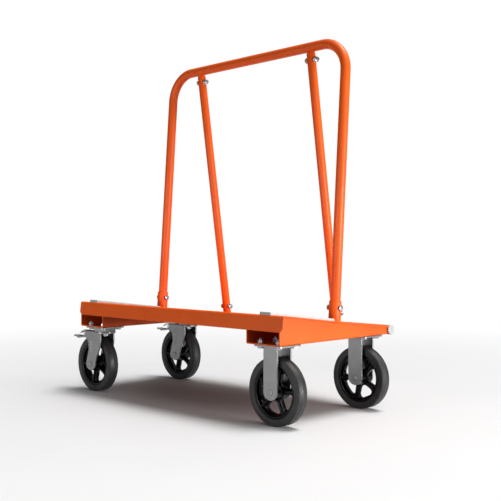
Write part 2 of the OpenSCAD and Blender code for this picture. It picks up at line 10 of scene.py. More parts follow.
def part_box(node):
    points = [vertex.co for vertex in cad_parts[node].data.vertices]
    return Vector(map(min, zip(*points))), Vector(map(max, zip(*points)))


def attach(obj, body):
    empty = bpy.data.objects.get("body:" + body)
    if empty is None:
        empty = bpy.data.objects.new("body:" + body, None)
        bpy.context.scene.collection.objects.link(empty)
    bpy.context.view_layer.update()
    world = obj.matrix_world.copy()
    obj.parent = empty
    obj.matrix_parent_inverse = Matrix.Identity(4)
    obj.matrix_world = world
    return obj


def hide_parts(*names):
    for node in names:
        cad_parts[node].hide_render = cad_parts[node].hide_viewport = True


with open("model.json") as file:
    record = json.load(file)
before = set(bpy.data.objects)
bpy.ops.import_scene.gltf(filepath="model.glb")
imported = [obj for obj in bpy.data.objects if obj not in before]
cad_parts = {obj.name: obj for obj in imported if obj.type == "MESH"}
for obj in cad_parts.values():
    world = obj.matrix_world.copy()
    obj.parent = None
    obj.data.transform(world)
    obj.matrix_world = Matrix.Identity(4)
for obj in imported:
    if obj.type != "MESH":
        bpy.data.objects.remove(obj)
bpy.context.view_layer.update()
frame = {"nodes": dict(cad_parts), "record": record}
nodes = frame["nodes"]
slot_of = {s["node"]: s["material_slot"] for s in frame["record"]["subparts"]}
MM = 0.001
# Vertices of a CAD mesh that are nearer than this are one, in metres
SAME_PLACE = 1e-6


def corners(node):
    """A CAD node's lowest and highest corners."""
    lo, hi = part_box(node)
    return Vector(lo), Vector(hi)


def mid(node):
    lo, hi = corners(node)
    return (lo + hi) / 2


def add_to_scene(obj):
    bpy.context.scene.collection.objects.link(obj)
    return obj


# ---- Camera -------------------------------------------------------------------------------

SENSOR = 36
LENS = 60.97
YAW = math.radians(44.59)
EYE_HEIGHT = 0.5174
# From the middle of the deck's front edge
EYE_FROM_DECK = Vector((2.1437, -1.7897, 0.0))

deck_lo, deck_hi = corners("deck_plate")
deck_x = (deck_lo.x + deck_hi.x) / 2
camera = add_to_scene(bpy.data.objects.new("camera", bpy.data.cameras.new("camera")))
camera.location = Vector((deck_x, deck_lo.y, EYE_HEIGHT)) + EYE_FROM_DECK
camera.rotation_euler = (math.pi / 2, 0, YAW)
camera.data.sensor_width = SENSOR
camera.data.lens = LENS
camera.data.clip_start = 0.05
camera.data.clip_end = 100
bpy.context.scene.camera = camera

# ---- Node trees ---------------------------------------------------------------------------


def add_node(tree, kind, **values):
    """A new node. Each value goes to the input of that name, or else to the setting."""
    made = tree.nodes.new(kind)
    for key, value in values.items():
        if key in made.inputs:
            made.inputs[key].default_value = value
        else:
            setattr(made, key, value)
    return made


def set_range(node, low, high, to_low, to_high):
    """Fill in a Map Range node's four limits."""
    for key, value in zip(("From Min", "From Max", "To Min", "To Max"),
                          (low, high, to_low, to_high)):
        node.inputs[key].default_value = value


class Nodes:
    """Short names for building a material's node tree."""

    def __init__(self, name):
        self.mat = bpy.data.materials.new(name)
        self.mat.use_nodes = True
        self.tree = self.mat.node_tree
        self.bsdf = self.tree.nodes["Principled BSDF"]
        self.place = self.node("ShaderNodeTexCoord").outputs["Object"]

    def node(self, kind, **values):
        return add_node(self.tree, kind, **values)

    def link(self, a, b):
        self.tree.links.new(a, b)

    def noise(self, scale, detail=3.0, rough=0.5, stretch=None):
        """Noise of that many cells to a metre, finer along an axis that stretch enlarges."""
        place = self.place
        if stretch:
            mapping = self.node("ShaderNodeMapping", Scale=stretch)
            self.link(place, mapping.inputs["Vector"])
            place = mapping.outputs["Vector"]
        made = self.node("ShaderNodeTexNoise", Scale=scale, Detail=detail, Roughness=rough)
        self.link(place, made.inputs["Vector"])
        return made.outputs["Fac"]

    def cells(self, scale):
        made = self.node("ShaderNodeTexVoronoi", Scale=scale)
        self.link(self.place, made.inputs["Vector"])
        return made

    def ramp(self, value, low, high, to_low=0.0, to_high=1.0):
        made = self.node("ShaderNodeMapRange")
        set_range(made, low, high, to_low, to_high)
        self.link(value, made.inputs["Value"])
        return made.outputs["Result"]

    def patchy(self, scale, detail, low, high):
        """A number that drifts between low and high over the surface."""
        return self.ramp(self.noise(scale, detail), 0.3, 0.7, low, high)

    def length(self, vector):
        made = self.node("ShaderNodeVectorMath", operation="LENGTH")
        self.link(vector, made.inputs[0])
        return made.outputs["Value"]

    def math(self, operation, a, b):
        made = self.node("ShaderNodeMath", operation=operation)
        for value, socket in ((a, made.inputs[0]), (b, made.inputs[1])):
            if isinstance(value, (int, float)):
                socket.default_value = value
            else:
                self.link(value, socket)
        return made.outputs[0]

    def mix(self, factor, a, b):
        made = self.node("ShaderNodeMix", data_type="RGBA")
        self.link(factor, made.inputs["Factor"])
        for value, socket in ((a, made.inputs["A"]), (b, made.inputs["B"])):
            if isinstance(value, tuple):
                socket.default_value = (*value, 1)
            else:
                self.link(value, socket)
        return made.outputs["Result"]

    def mix_shaders(self, factor, a, b):
        made = self.node("ShaderNodeMixShader")
        for value, socket in zip((factor, a, b), made.inputs):
            self.link(value, socket)
        return made.outputs[0]

    def edges(self, radius, low=0.02, high=0.12):
        """1 on sharp edges and 0 on flats: how far the rounded normal leaves the true one."""
        bevel = self.node("ShaderNodeBevel", samples=4, Radius=radius)
        true = self.node("ShaderNodeNewGeometry").outputs["Normal"]
        dot = self.node("ShaderNodeVectorMath", operation="DOT_PRODUCT")
        self.link(bevel.outputs["Normal"], dot.inputs[0])
        self.link(true, dot.inputs[1])
        return self.ramp(self.math("SUBTRACT", 1.0, dot.outputs["Value"]), low, high)

    def bump(self, height, distance, strength=0.5):
        made = self.node("ShaderNodeBump", Strength=strength, Distance=distance)
        self.link(height, made.inputs["Height"])
        return made.outputs["Normal"]

    def finish(self, colour, rough, normal=None, **plain):
        """Link what varies over the surface, and set the plain values on their sockets."""
        for key, value in plain.items():
            self.bsdf.inputs[key.replace("_", " ")].default_value = value
        for key, value in (("Base Color", colour), ("Roughness", rough), ("Normal", normal)):
            if value is not None:
                self.link(value, self.bsdf.inputs[key])
        return self.mat


# ---- Materials ----------------------------------------------------------------------------


def powder_coat():
    """Orange powder coat: faint clouds, orange peel, and scuffs where edges are sharp."""
    deep, bright, scuffed = (0.82, 0.103, 0.0048), (0.88, 0.119, 0.0068), (0.34, 0.10, 0.035)
    n = Nodes("powder_coat")
    cloud = n.noise(9, 4)
    colour = n.mix(n.ramp(cloud, 0.3, 0.7), deep, bright)
    worn_edge = n.edges(1.2 * MM, 0.06, 0.2)
    scuff = n.math("MULTIPLY", worn_edge, n.ramp(n.noise(90, 5, 0.7), 0.60, 0.70))
    colour = n.mix(scuff, colour, scuffed)
    rough = n.patchy(30, 4, 0.36, 0.46)
    rough = n.math("ADD", rough, n.math("MULTIPLY", scuff, 0.3))
    peel = n.bump(n.noise(420, 2, 0.4), 0.2 * MM)
    return n.finish(colour, rough, peel, Specular_IOR_Level=0.33)


def zinc_plate(name, dark, light, rough_low, rough_high, grain=1):
    """Plated steel: cloudy tone, faint crystals, dull edges. A low grain brushes it along Z."""
    edge_gain = 1.35
    n = Nodes(name)
    tone = n.ramp(n.noise(26, 3, 0.5), 0.2, 0.8)
    colour = n.mix(tone, dark, light)
    flakes = n.node("ShaderNodeSeparateColor")
    n.link(n.cells(260).outputs["Color"], flakes.inputs["Color"])
    rough = n.math("ADD", n.patchy(70, 4, rough_low, rough_high),
                   n.ramp(flakes.outputs["Red"], 0, 1, -0.02, 0.02))
    dull = n.math("MULTIPLY", n.edges(0.7 * MM), 0.4)
    colour = n.mix(dull, colour, tuple(min(1, c * edge_gain) for c in light))
    brushed = n.noise(900, 2, 0.5, stretch=(1, 1, grain))
    return n.finish(colour, rough, n.bump(brushed, 0.05 * MM), Metallic=0.85)


def hub_enamel():
    """Glossy black enamel over the uneven skin of a casting."""
    dark, light = (0.0015, 0.0015, 0.0015), (0.004, 0.004, 0.004)
    n = Nodes("hub_enamel")
    colour = n.mix(n.ramp(n.noise(60, 4), 0.4, 0.7), dark, light)
    rough = n.patchy(45, 4, 0.10, 0.20)
    cast = n.bump(n.noise(350, 4, 0.6), 0.3 * MM)
    return n.finish(colour, rough, cast, Specular_IOR_Level=0.16)


def tyre_rubber():
    """Black rubber with a little dust and a fine moulded grain."""
    clean, dusty = (0.015, 0.015, 0.015), (0.034, 0.033, 0.032)
    n = Nodes("tyre_rubber")
    colour = n.mix(n.ramp(n.noise(42, 6, 0.65), 0.45, 0.75), clean, dusty)
    rough = n.patchy(85, 5, 0.38, 0.56)
    grain = n.bump(n.noise(1300, 3, 0.6), 0.12 * MM, 0.6)
    return n.finish(colour, rough, grain, Specular_IOR_Level=0.4)


def pad_rubber():
    """Light grey rubber with darker rub marks."""
    dark, light, rubbed = (0.40, 0.415, 0.415), (0.49, 0.505, 0.505), (0.30, 0.29, 0.28)
    n = Nodes("pad_rubber")
    colour = n.mix(n.ramp(n.noise(50, 5), 0.35, 0.7), dark, light)
    marks = n.ramp(n.noise(24, 6, 0.7, stretch=(3, 1, 1)), 0.60, 0.72)
    colour = n.mix(n.math("MULTIPLY", marks, 0.35), colour, rubbed)
    rough = n.patchy(80, 3, 0.6, 0.8)
    grain = n.bump(n.noise(700, 4, 0.6), 0.2 * MM, 0.6)
    return n.finish(colour, rough, grain, Specular_IOR_Level=0.2)


def cap_plastic():
    """White moulded plastic."""
    dark, light = (0.42, 0.42, 0.42), (0.47, 0.47, 0.47)
    n = Nodes("cap_plastic")
    colour = n.mix(n.ramp(n.noise(40, 5), 0.4, 0.7), dark, light)
    rough = n.patchy(60, 3, 0.28, 0.42)
    grain = n.bump(n.noise(900, 2), 0.06 * MM)
    return n.finish(colour, rough, grain)


MATERIALS = {
    "paint": powder_coat(),
    "zinc": zinc_plate("zinc_sheet", (0.235, 0.235, 0.237), (0.275, 0.275, 0.277),
                       0.32, 0.40, grain=0.2),
    "bright": zinc_plate("bright_steel", (0.48, 0.48, 0.49), (0.60, 0.60, 0.61), 0.18, 0.30),
    "fastener": zinc_plate("fastener_zinc", (0.36, 0.36, 0.365), (0.5, 0.5, 0.505), 0.24, 0.36),
    "washer": zinc_plate("washer_zinc", (0.42, 0.42, 0.425), (0.55, 0.55, 0.555), 0.26, 0.38),
    "hub_black": hub_enamel(),
    "tyre": tyre_rubber(),
    "pad": pad_rubber(),
    "end_cap": cap_plastic(),
}


def soften(obj, width=0.6 * MM):
    """Round a kept CAD node's edges so that they catch the light."""
    weld = obj.modifiers.new("weld", "WELD")
    weld.merge_threshold = SAME_PLACE
    flat = obj.modifiers.new("flat", "DECIMATE")
    flat.decimate_type = "DISSOLVE"
    flat.angle_limit = math.radians(0.5)
    bevel = obj.modifiers.new("bevel", "BEVEL")
    bevel.width = width
    bevel.segments = 2
    bevel.limit_method = "ANGLE"
    bevel.angle_limit = math.radians(35)


for name, obj in nodes.items():
    obj.data.materials.clear()
    obj.data.materials.append(MATERIALS[slot_of[name]])
    soften(obj)

# ---- Building pieces ----------------------------------------------------------------------

# One seeded source for the turn of each bolt and nut, and for the welds' ripples
chance = random.Random(7)


def shade(obj, angle):
    """Smooth shading, sharp where faces meet at more than this angle."""
    obj.data.shade_smooth()
    bm = bmesh.new()
    bm.from_mesh(obj.data)
    for edge in bm.edges:
        edge.smooth = edge.is_manifold and edge.calc_face_angle(0) <= math.radians(angle)
    bm.to_mesh(obj.data)
    bm.free()


def piece(name, bm, slot, body, stands_for=(), angle=32):
    """Turn a bmesh into a piece of the model: material, shading, body and replaced nodes."""
    bmesh.ops.recalc_face_normals(bm, faces=bm.faces)
    mesh = bpy.data.meshes.new(name)
    bm.to_mesh(mesh)
    bm.free()
    mesh.materials.append(MATERIALS[slot])
    obj = add_to_scene(bpy.data.objects.new(name, mesh))
    shade(obj, angle)
    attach(obj, body)
    if stands_for:
        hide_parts(*stands_for)


def pointing(origin, way):
    """The place of something drawn along +Z that starts at origin and points along way."""
    turn = Vector(way).to_track_quat("Z", "Y").to_matrix().to_4x4()
    return Matrix.Translation(origin) @ turn


def polar(place, radius, angle, height):
    """The point at that radius, angle and height about the Z axis of place."""
    return place @ Vector((radius * math.cos(angle), radius * math.sin(angle), height))


def round_angles(count):
    """The angles of that many equal steps round a circle."""
    return [2 * math.pi * i / count for i in range(count)]


def skin(bm, rings, closed=False):
    """Quads between successive rings of points. The rings join up, or their ends are filled."""
    made = [[bm.verts.new(p) for p in ring] for ring in rings]
    count = len(made[0])
    for i in range(len(made) if closed else len(made) - 1):
        one, two = made[i], made[(i + 1) % len(made)]
        for j in range(count):
            k = (j + 1) % count
            bm.faces.new((one[j], one[k], two[k], two[j]))
    if not closed:
        bm.faces.new(made[0])
        bm.faces.new(made[-1])


def turned(bm, place, profile, segments=48, closed=False):
    """Turn an outline of (radius, height) points about the Z axis of place."""
    rings = [[polar(place, r, a, z) for a in round_angles(segments)] for r, z in profile]
    skin(bm, rings, closed)


def arc(centre, radius, start, stop, steps):
    """Points on an arc, in a profile's (radius, height) plane; the angles are in degrees."""
    angles = [math.radians(start + (stop - start) * i / steps) for i in range(steps + 1)]
    return [(centre[0] + radius * math.cos(a), centre[1] + radius * math.sin(a)) for a in angles]


def hexagon(bm, place, flats, bottom, top, both=False):
    """A hexagonal head or nut whose corners are chamfered at the top, or at both ends."""
    angles = round_angles(48)
    chamfer = math.radians(30)
    apothem = flats / 2
    reach = [apothem / math.cos((a + math.pi / 6) % (math.pi / 3) - math.pi / 6) for a in angles]
    face = apothem * 0.94
    drop = [(r - face) * math.tan(chamfer) for r in reach]

    def flat_ring(height):
        return [polar(place, face, a, height) for a in angles]

    def side_ring(height, sign):
        return [polar(place, r, a, height + sign * d) for r, a, d in zip(reach, angles, drop)]

    low = [flat_ring(bottom), side_ring(bottom, 1)] if both else [side_ring(bottom, 0)]
    skin(bm, low + [side_ring(top, -1), flat_ring(top)])


THREAD_LENGTH = 14 * MM


def thread(bm, place, radius, start, stop):
    """A plain shank with a helical thread on its last stretch, and a chamfered end."""
    steps = 24
    pitch = 1.5 * MM
    depth = 0.09 * radius
    plain = max(start, stop - THREAD_LENGTH)
    heights = [start, plain]
    while heights[-1] < stop - pitch:
        heights.append(heights[-1] + pitch / 4)
    rings = []
    for z in heights:
        ring = []
        for i in range(steps):
            turn = i / steps
            wave = abs(((z / pitch - turn) % 1) * 2 - 1) if z > plain else 0
            ring.append(polar(place, radius - depth * wave, 2 * math.pi * turn, z))
        rings.append(ring)
    end = [polar(place, 0.82 * radius, a, stop) for a in round_angles(steps)]
    skin(bm, rings + [end])


def solids(node):
    """The box of each separate solid in a CAD node, as (low, high) corners."""
    bm = bmesh.new()
    bm.from_mesh(nodes[node].data)
    bmesh.ops.remove_doubles(bm, verts=bm.verts, dist=SAME_PLACE)
    left = set(bm.verts)
    boxes = []
    while left:
        stack = [left.pop()]
        found = []
        while stack:
            vert = stack.pop()
            found.append(vert.co.copy())
            for edge in vert.link_edges:
                other = edge.other_vert(vert)
                if other in left:
                    left.remove(other)
                    stack.append(other)
        boxes.append((Vector(min(c[i] for c in found) for i in range(3)),
                      Vector(max(c[i] for c in found) for i in range(3))))
    bm.free()
    return sorted(boxes, key=lambda box: tuple(round(c, 4) for c in box[0]))


def bead(bm, path, radius, closed=False):
    """A weld bead along a path: a ridge of overlapping ripples, with thin ends if it is open."""
    pitch = 2.4 * MM
    step = pitch / 3
    points = [Vector(p) for p in path] + ([Vector(path[0])] if closed else [])
    spots, travelled = [], 0.0
    for one, two in zip(points, points[1:]):
        length = (two - one).length
        while travelled < length:
            spots.append(one.lerp(two, travelled / length))
            travelled += step
        travelled -= length
    rings = []
    for i, spot in enumerate(spots):
        before = spots[i - 1] if i or closed else spot
        after = spots[(i + 1) % len(spots)] if i + 1 < len(spots) or closed else spot
        along = (after - before).normalized()
        side = along.orthogonal().normalized()
        up = along.cross(side)
        ripple = ((i * step / pitch) % 1) * 2 - 1
        taper = 1 if closed else min(1, 0.35 + 0.3 * min(i, len(spots) - 1 - i))
        size = radius * taper * (0.84 + 0.2 * (1 - ripple * ripple) + chance.uniform(-0.04, 0.04))
        rings.append([spot + size * (side * math.cos(a) + up * math.sin(a))
                      for a in round_angles(8)])
    skin(bm, rings, closed)


# ---- Places taken from the frame -----------------------------------------------------------

# Dimensions that no node's box gives
DECK_SLOPE = math.radians(7)
FLANGE_DEPTH = 49 * MM
DECK_SHEET = 3 * MM
UPRIGHT_LEAN = math.radians(4)
UPRIGHT_R = 16.7 * MM
SPIGOT_R = 12.55 * MM
M10_FLATS = 17 * MM
M10_HEAD = 6.4 * MM
M10_R = 5 * MM
# Each wheel, and the body that holds its axle
WHEELS = {"rigid_front": "frame", "rigid_rear": "frame",
          "swivel_front": "swivel_front_yoke", "swivel_rear": "swivel_rear_yoke"}

front_edge = Vector((deck_x, deck_lo.y + FLANGE_DEPTH * math.sin(DECK_SLOPE), deck_hi.z))
# A frame that lies on the deck: X to the right, Y down the slope to the rear, Z off the sheet
on_deck = Matrix.Translation(front_edge) @ Matrix.Rotation(-DECK_SLOPE, 4, "X")


def deck_top(y):
    return front_edge.z - (y - front_edge.y) * math.tan(DECK_SLOPE)


def deck_under(y):
    return deck_top(y) - DECK_SHEET / math.cos(DECK_SLOPE)


rail_lo, rail_hi = corners("rear_rail")
rail = mid("rear_rail")
rail_r = (rail_hi.z - rail_lo.z) / 2
bar_hi = corners("upright_frame")[1]
bar = Vector((rail.x, bar_hi.y - UPRIGHT_R, bar_hi.z - UPRIGHT_R))
post_way = Vector((0, math.sin(UPRIGHT_LEAN), math.cos(UPRIGHT_LEAN)))

# ---- Fasteners -----------------------------------------------------------------------------


def bolts(node, way_of, name):
    """Chamfered hexagon bolts with threaded ends in place of a node's plain ones."""
    relief = 0.4 * MM
    washer_face = [(0.47 * M10_FLATS, 0), (0.47 * M10_FLATS, 0.6 * MM)]
    bm = bmesh.new()
    for lo, hi in solids(node):
        middle = (lo + hi) / 2
        way = Vector(way_of(middle))
        length = abs((hi - lo).dot(way)) - M10_HEAD
        # The seat is where the head meets the shank, which runs along way
        seat = middle - way * ((length + M10_HEAD) / 2 - M10_HEAD)
        place = pointing(seat, way) @ Matrix.Rotation(chance.uniform(0, 1), 4, "Z")
        flipped = place @ Matrix.Scale(-1, 4, (0, 0, 1))
        hexagon(bm, flipped, M10_FLATS, relief, M10_HEAD)
        turned(bm, flipped, washer_face)
        thread(bm, place, M10_R, 0, length)
    piece(name, bm, "fastener", "frame", [node])


def nuts(node, way_of, name):
    """Nuts chamfered at both ends in place of a node's plain ones."""
    bm = bmesh.new()
    for lo, hi in solids(node):
        middle = (lo + hi) / 2
        way = Vector(way_of(middle))
        height = abs((hi - lo).dot(way))
        place = pointing(middle - way * height / 2, way)
        place = place @ Matrix.Rotation(chance.uniform(0, 1), 4, "Z")
        hexagon(bm, place, M10_FLATS, 0, height, both=True)
    piece(name, bm, "fastener", "frame", [node])


def upward(middle):
    return 0, 0, 1


def to_right(middle):
    return 1, 0, 0


def inward(middle):
    return (-1 if middle.x > rail.x else 1), 0, 0


for kind, way_of in (("caster", upward), ("brace", to_right), ("socket", inward)):
    bolts(kind + "_bolts", way_of, kind + "_bolts_threaded")
    nuts(kind + "_nuts", way_of, kind + "_nuts_chamfered")

# ---- Welds ---------------------------------------------------------------------------------


def stitches(bm, a, b, length, gap, radius):
    """Short beads along a line, with gaps between them."""
    total = (b - a).length
    count = max(1, round((total + gap) / (length + gap)))
    pitch = (total - length) / max(1, count - 1)
    for i in range(count):
        start = a + (b - a) * (pitch * i / total)
        bead(bm, [start, start + (b - a) * (length / total)], radius)


def socket_welds(bm):
    """A ring round each socket, where it meets the sloping deck."""
    proud = 0.6 * MM
    normal = Vector((0, math.sin(DECK_SLOPE), math.cos(DECK_SLOPE)))
    right = Vector((1, 0, 0))
    across = Vector((0, post_way.z, -post_way.y))
    for node in ("post_socket_left", "post_socket_right"):
        lo, hi = corners(node)
        radius = (hi.x - lo.x) / 2 + proud
        centre = Vector(((lo.x + hi.x) / 2, bar.y, bar.z))
        path = []
        for a in round_angles(48):
            p = centre + radius * (right * math.cos(a) + across * math.sin(a))
            path.append(p - post_way * ((p - front_edge).dot(normal) / post_way.dot(normal)))
        bead(bm, path, 3.1 * MM, closed=True)


def saddle_welds(bm):
    """Beads where the braces' spigots meet the rail and the top bar."""
    for node in ("brace_left", "brace_right"):
        x = mid(node).x
        low, high = Vector((x, rail.y, rail.z)), Vector((x, bar.y, bar.z))
        for centre, other, tube in ((low, high, rail_r), (high, low, UPRIGHT_R)):
            way = (other - centre).normalized()
            side = way.cross(Vector((1, 0, 0)))
            path = []
            for a in round_angles(36):
                out = SPIGOT_R * math.sin(a)
                path.append(centre + way * math.sqrt(tube * tube - out * out)
                            + Vector((SPIGOT_R * math.cos(a), 0, 0)) + side * out)
            bead(bm, path, 2.1 * MM, closed=True)


def rail_welds(bm):
    """The deck's rear edge to the rail, and the rail to each channel wall."""
    step = 0.2 * MM
    end_gap = 12 * MM
    proud = 0.4 * MM

    def clearance(y):
        """The deck's top above the rail's at y, or above the axis where there's no rail."""
        return deck_top(y) - rail.z - math.sqrt(max(0, rail_r ** 2 - (y - rail.y) ** 2))

    y = rail.y - rail_r
    while clearance(y) < 0:
        y -= step
    while clearance(y) > 0:
        y += step
    ends = [Vector((x, y, deck_top(y))) for x in (rail_lo.x + end_gap, rail_hi.x - end_gap)]
    stitches(bm, *ends, length=45 * MM, gap=75 * MM, radius=1.9 * MM)
    lowest = -1.35
    highest = math.asin(min(1, (deck_under(rail.y - rail_r) - rail.z) / rail_r))
    angles = [lowest + (highest - lowest) * i / 16 for i in range(17)]
    for node in ("channel_left", "channel_right"):
        lo, hi = corners(node)
        for x in (lo.x - proud, hi.x + proud):
            bead(bm, [(x, rail.y - rail_r * math.cos(a), rail.z + rail_r * math.sin(a))
                      for a in angles], 2.4 * MM)


def channel_welds(bm):
    """Each channel wall to the underside of the deck."""
    proud, sunk = 0.6 * MM, 0.4 * MM
    places = (front_edge.y + 20 * MM, rail.y - 60 * MM)
    for node in ("channel_left", "channel_right"):
        lo, hi = corners(node)
        for x in (lo.x - proud, hi.x + proud):
            ends = [Vector((x, y, deck_under(y) - sunk)) for y in places]
            stitches(bm, *ends, length=30 * MM, gap=75 * MM, radius=2.2 * MM)


frame_welds = bmesh.new()
for weld in (socket_welds, saddle_welds, rail_welds, channel_welds):
    weld(frame_welds)
piece("frame_welds", frame_welds, "paint", "frame", angle=70)

# ---- Pads ----------------------------------------------------------------------------------


def ribbed_pad(node):
    """A rubber strip with rounded edges and fine grooves along its length."""
    grooves, thick, edge = 5, 9 * MM, 3 * MM
    groove, slope, depth, margin = 1.1 * MM, 0.4 * MM, 0.8 * MM, 4 * MM
    lo, hi = corners(node)
    half = (hi.x - lo.x) / 2
    outline = [(-half, 0), (half, 0)] + arc((half - edge, thick - edge), edge, 0, 90, 5)
    for i in range(grooves):
        x = (half - edge - margin) * (1 - 2 * i / (grooves - 1))
        outline += [(x + groove + slope, thick), (x + groove, thick - depth),
                    (x - groove, thick - depth), (x - groove - slope, thick)]
    outline += arc((-half + edge, thick - edge), edge, 90, 180, 5)
    starts = (lo.y - front_edge.y) / math.cos(DECK_SLOPE)
    stops = (hi.y - front_edge.y - thick * math.sin(DECK_SLOPE)) / math.cos(DECK_SLOPE)
    middle = (lo.x + hi.x) / 2 - front_edge.x
    # The two ends are drawn in a little, for a rounded rim
    inset = 0.6 * MM
    rings = []
    for s, shrink in ((starts, inset), (starts + inset, 0), (stops - inset, 0), (stops, inset)):
        rings.append([on_deck @ Vector((middle + x * (1 - shrink / half), s,
                                        max(0, z - (shrink if z > edge else 0))))
                      for x, z in outline])
    bm = bmesh.new()
    skin(bm, rings)
    piece(node + "_ribbed", bm, "pad", "frame", [node])


for side in ("left", "right"):
    ribbed_pad("deck_pad_" + side)

# ---- Wheels --------------------------------------------------------------------------------


def wheel_place(wheel):
    """The middle of a wheel, with Z along its axle towards the front."""
    return pointing(mid(wheel + "_tyre"), (0, -1, 0))


def lathe_tyre(wheel, body):
    """A moulded tyre: beads against the rim, a raised band, round shoulders, a parting line."""
    lo, hi = corners(wheel + "_tyre")
    rim_lo, rim_hi = corners(wheel + "_hub")
    radius, half = (hi.z - lo.z) / 2, (hi.y - lo.y) / 2
    rim = (rim_hi.z - rim_lo.z) / 2
    lip = 2.2 * MM
    side = [(rim - 0.6 * MM, half - 3.2 * MM), (rim + 0.6 * MM, half - 2.6 * MM)]
    side += arc((rim + 3 * MM, half - lip), lip, 150, 90, 4)
    band, sunk = radius - 9 * MM, 0.35 * MM
    side += [(band - 2.6 * MM, half), (band - 2.1 * MM, half - sunk),
             (band - 1.2 * MM, half - sunk), (band - 0.7 * MM, half)]
    shoulder, ease = 3.2 * MM, 1.1 * MM
    side += arc((radius - shoulder, half - ease), ease, 90, 48, 3)
    side += arc((radius - ease, half - shoulder), ease, 42, 0, 3)
    parting = [(radius, 0.5 * MM), (radius + 0.2 * MM, 0)]
    profile = side + parting + [(r, -z) for r, z in reversed(side + parting[:1])]
    bm = bmesh.new()
    turned(bm, wheel_place(wheel), profile, 144, closed=True)
    piece(wheel + "_tyre_moulded", bm, "tyre", body, [wheel + "_tyre"], angle=28)


def cast_hub(wheel, body):
    """The hub as cast iron: the CAD solid with every corner and root run together."""
    node = nodes[wheel + "_hub"]
    rough = add_to_scene(bpy.data.objects.new("rough", node.data.copy()))
    rough.modifiers.new("weld", "WELD").merge_threshold = SAME_PLACE
    remesh = rough.modifiers.new("remesh", "REMESH")
    remesh.mode = "VOXEL"
    remesh.voxel_size = 1.3 * MM
    smooth = rough.modifiers.new("smooth", "SMOOTH")
    smooth.factor = 0.5
    smooth.iterations = 7
    bpy.context.view_layer.update()
    done = rough.evaluated_get(bpy.context.evaluated_depsgraph_get())
    bm = bmesh.new()
    bm.from_mesh(done.data)
    bpy.data.objects.remove(rough)
    piece(wheel + "_hub_cast", bm, "hub_black", body, [wheel + "_hub"], angle=180)


def axle_bolt(wheel, body):
    """Axle with a low pressed head at the front, and a nut on its thread at the rear."""
    head, head_r, rim = 4 * MM, 9.5 * MM, 0.5 * MM
    thread_r, nut_flats, nut_height, nut_from_end = 6.35 * MM, 19 * MM, 9 * MM, 13 * MM
    lo, hi = corners(wheel + "_axle")
    middle = mid(wheel + "_tyre")
    place = wheel_place(wheel)
    front = middle.y - lo.y - head
    bm = bmesh.new()
    turned(bm, place, [(head_r, front), (head_r, front + rim)]
           + arc((8.1 * MM, front + rim), 1.3 * MM, 15, 80, 4)
           + [(7 * MM, front + 1.9 * MM), (3 * MM, front + 2 * MM)])
    back = place @ Matrix.Rotation(math.pi, 4, "X")
    thread(bm, back, thread_r, -front, hi.y - middle.y)
    seat = hi.y - nut_from_end - middle.y
    hexagon(bm, back, nut_flats, seat, seat + nut_height, both=True)
    piece(wheel + "_axle_fitted", bm, slot_of[wheel + "_axle"], body, [wheel + "_axle"])


for wheel, holder in WHEELS.items():
    lathe_tyre(wheel, wheel + "_wheel")
    cast_hub(wheel, wheel + "_wheel")
    axle_bolt(wheel, holder)

# ---- Casters -------------------------------------------------------------------------------

LEG_THICK = 5.5 * MM
PLATE_THICK = 5 * MM


def leg_faces(wheel):
    """The outer faces of the two legs, as Y places, front first."""
    lo, hi = corners(wheel + "_bushing")
    return lo.y - LEG_THICK, hi.y + LEG_THICK


def fork_welds(wheel):
    """Beads between a rigid fork's legs and its plate."""
    reach = 25 * MM
    x = mid(wheel + "_tyre").x
    plate_under = corners(wheel + "_fork")[1].z - PLATE_THICK
    bm = bmesh.new()
    for y in leg_faces(wheel):
        bead(bm, [(x - reach, y, plate_under), (x + reach, y, plate_under)], 2.4 * MM)
    piece(wheel + "_fork_welds", bm, "zinc", "frame", angle=70)


def raised_rib(bm, place, length, width, height):
    """A long oval rib pressed out of a sheet that faces along Z. Its foot is a little sunk."""
    steps, layers, steepest, sunk = 12, 6, 88, 0.2 * MM
    rings = []
    for k in range(layers + 1):
        t = math.radians(steepest * k / layers)
        r, z = width / 2 * math.cos(t), height * math.sin(t)
        ring = []
        for end, first in ((1, 0), (-1, 180)):
            for i in range(steps + 1):
                a = math.radians(first + 180 * i / steps)
                ring.append(place @ Vector((r * math.cos(a), end * length / 2 + r * math.sin(a),
                                            z - sunk)))
        rings.append(ring)
    skin(bm, rings)


def yoke_ribs(wheel):
    """A stiffening rib up each leg of a swivel yoke."""
    above_axle, left_of_axle = 64 * MM, 1 * MM
    middle = mid(wheel + "_tyre")
    bm = bmesh.new()
    for y, out in zip(leg_faces(wheel), (-1, 1)):
        centre = (middle.x - left_of_axle, y, middle.z + above_axle)
        place = Matrix.Translation(centre) @ Matrix.Rotation(-out * math.pi / 2, 4, "X")
        raised_rib(bm, place, length=42 * MM, width=9 * MM, height=1.3 * MM)
    piece(wheel + "_yoke_ribs", bm, "zinc", wheel + "_yoke")


def pedal_treads(wheel):
    """Small bars across the pedal, for grip."""
    below_pin = 13 * MM
    lo, hi = corners(wheel + "_brake_pedal")
    y = (lo.y + hi.y) / 2
    top = mid(wheel + "_brake_pin").z - below_pin
    bm = bmesh.new()
    for i in range(4):
        x = lo.x + (4 + 5 * i) * MM
        raised_rib(bm, Matrix.Translation((x, y, top)),
                   length=20 * MM, width=2.2 * MM, height=1.1 * MM)
    piece(wheel + "_pedal_treads", bm, "zinc", wheel + "_brake")


for wheel in WHEELS:
    if wheel.startswith("rigid"):
        fork_welds(wheel)
    else:
        yoke_ribs(wheel)
        pedal_treads(wheel)

# ---- Studio -------------------------------------------------------------------------------


